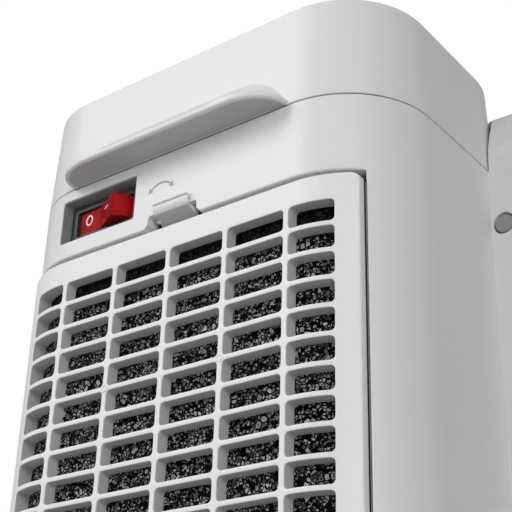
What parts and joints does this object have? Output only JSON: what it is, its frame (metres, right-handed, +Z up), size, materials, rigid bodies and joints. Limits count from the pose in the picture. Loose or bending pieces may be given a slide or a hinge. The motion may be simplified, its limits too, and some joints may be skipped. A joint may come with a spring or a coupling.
{
  "type": "ceramic tower heater",
  "caption": "Upright white fan heater on a round oscillating base, with a rear intake grille over foam, a handle ledge, a red rocker switch and a slotted front outlet.",
  "frame": {"origin": "centre of the base on the floor, at the bottom of the feet", "axes": "+Z up along the swing axis, -Y towards the front outlet, +Y towards the rear intake"},
  "size_m": [0.25, 0.25, 0.6333],
  "materials": {
    "shell_white": "satin moulded white ABS",
    "cover_white": "fine matt moulded white ABS",
    "black_plastic": "matt black nylon",
    "dark_plastic": "matt dark grey ABS",
    "red_lens": "glossy translucent red polycarbonate",
    "steel": "plated steel",
    "zinc": "zinc plated sheet",
    "aluminium": "plain fin stock",
    "brass": "plain",
    "nylon": "natural nylon",
    "rubber": "matt",
    "mica": "matt mica board",
    "foam": "open-cell reticulated foam"
  },
  "bodies": {
    "base": {"base_cover": "shell_white", "base_plate": "dark_plastic", "ballast_ring": "steel", "rubber_foot_1": "rubber", "rubber_foot_2": "rubber", "rubber_foot_3": "rubber", "rubber_foot_4": "rubber", "oscillation_motor": "zinc", "tip_switch": "black_plastic", "cable_gland": "black_plastic", "slide_ring": "nylon"},
    "crank": {"oscillation_crank": "nylon"},
    "plunger": {"tip_plunger": "nylon"},
    "column": {"turntable": "dark_plastic", "drive_arm": "zinc", "rear_housing": "shell_white", "front_panel": "shell_white", "outlet_grille": "dark_plastic", "top_cap": "shell_white", "flange_screw_1": "steel", "flange_screw_2": "steel", "flange_screw_3": "steel", "flange_screw_4": "steel", "flange_screw_5": "steel", "flange_screw_6": "steel", "control_panel": "dark_plastic", "thermostat": "zinc", "mode_switch": "black_plastic", "pilot_lens": "red_lens", "switch_body": "black_plastic", "intake_guard": "black_plastic", "duct_top": "dark_plastic", "duct_floor": "dark_plastic", "volute_wall": "dark_plastic", "vortex_tongue": "dark_plastic", "top_bush": "brass", "fan_motor": "zinc", "motor_bracket": "steel", "heater_frame": "mica", "ptc_element_1": "aluminium", "ptc_element_2": "aluminium", "thermal_cutout": "brass", "thermal_fuse": "steel", "terminal_block": "nylon"},
    "fan": {"fan_rotor": "black_plastic", "fan_shaft": "steel"},
    "rocker": {"switch_rocker": "red_lens"},
    "cover": {"filter_cover": "cover_white", "filter_foam": "foam", "latch_pin": "steel"},
    "latch": {"cover_latch": "cover_white"},
    "thermostat_dial": {"thermostat_knob": "shell_white"},
    "mode_dial": {"mode_knob": "shell_white"}
  },
  "joints": [
    {"name": "column_swing", "type": "hinge", "parent": "base", "child": "column", "pos_m": [0, 0, 0.038], "axis": [0, 0, 1], "range_deg": [-35, 35]},
    {"name": "crank_turn", "type": "hinge", "parent": "base", "child": "crank", "pos_m": [0, -0.04, 0.022], "axis": [0, 0, 1], "range_deg": [-82, 82]},
    {"name": "plunger_drop", "type": "slide", "parent": "base", "child": "plunger", "axis": [0, 0, -1], "range_m": [0, 0.004], "stiffness_N_per_m": 60, "springref_m": 0.006},
    {"name": "fan_spin", "type": "hinge", "parent": "column", "child": "fan", "pos_m": [0.004, 0.008, 0.35], "axis": [0, 0, 1], "continuous": true},
    {"name": "rocker_press", "type": "hinge", "parent": "column", "child": "rocker", "pos_m": [0.0431, 0.04965, 0.55945], "axis": [0, 0, 1], "range_deg": [0, 30]},
    {"name": "cover_tilt", "type": "hinge", "parent": "column", "child": "cover", "pos_m": [0, 0.061, 0.186], "axis": [-1, 0, 0], "range_deg": [0, 25]},
    {"name": "latch_pull", "type": "hinge", "parent": "cover", "child": "latch", "pos_m": [0, 0.0536, 0.5341], "axis": [-1, 0, 0], "range_deg": [0, 6], "stiffness_Nm_per_rad": 0.05, "springref_deg": -5.73},
    {"name": "thermostat_turn", "type": "hinge", "parent": "column", "child": "thermostat_dial", "pos_m": [0.038, -0.016, 0.62], "axis": [0, 0, -1], "range_deg": [0, 270]},
    {"name": "mode_turn", "type": "hinge", "parent": "column", "child": "mode_dial", "pos_m": [-0.038, -0.016, 0.62], "axis": [0, 0, -1], "range_deg": [0, 180]}
  ],
  "couplings": [
    {"joint": "crank_turn", "follows": "column_swing", "ratio": 2.33}
  ]
}
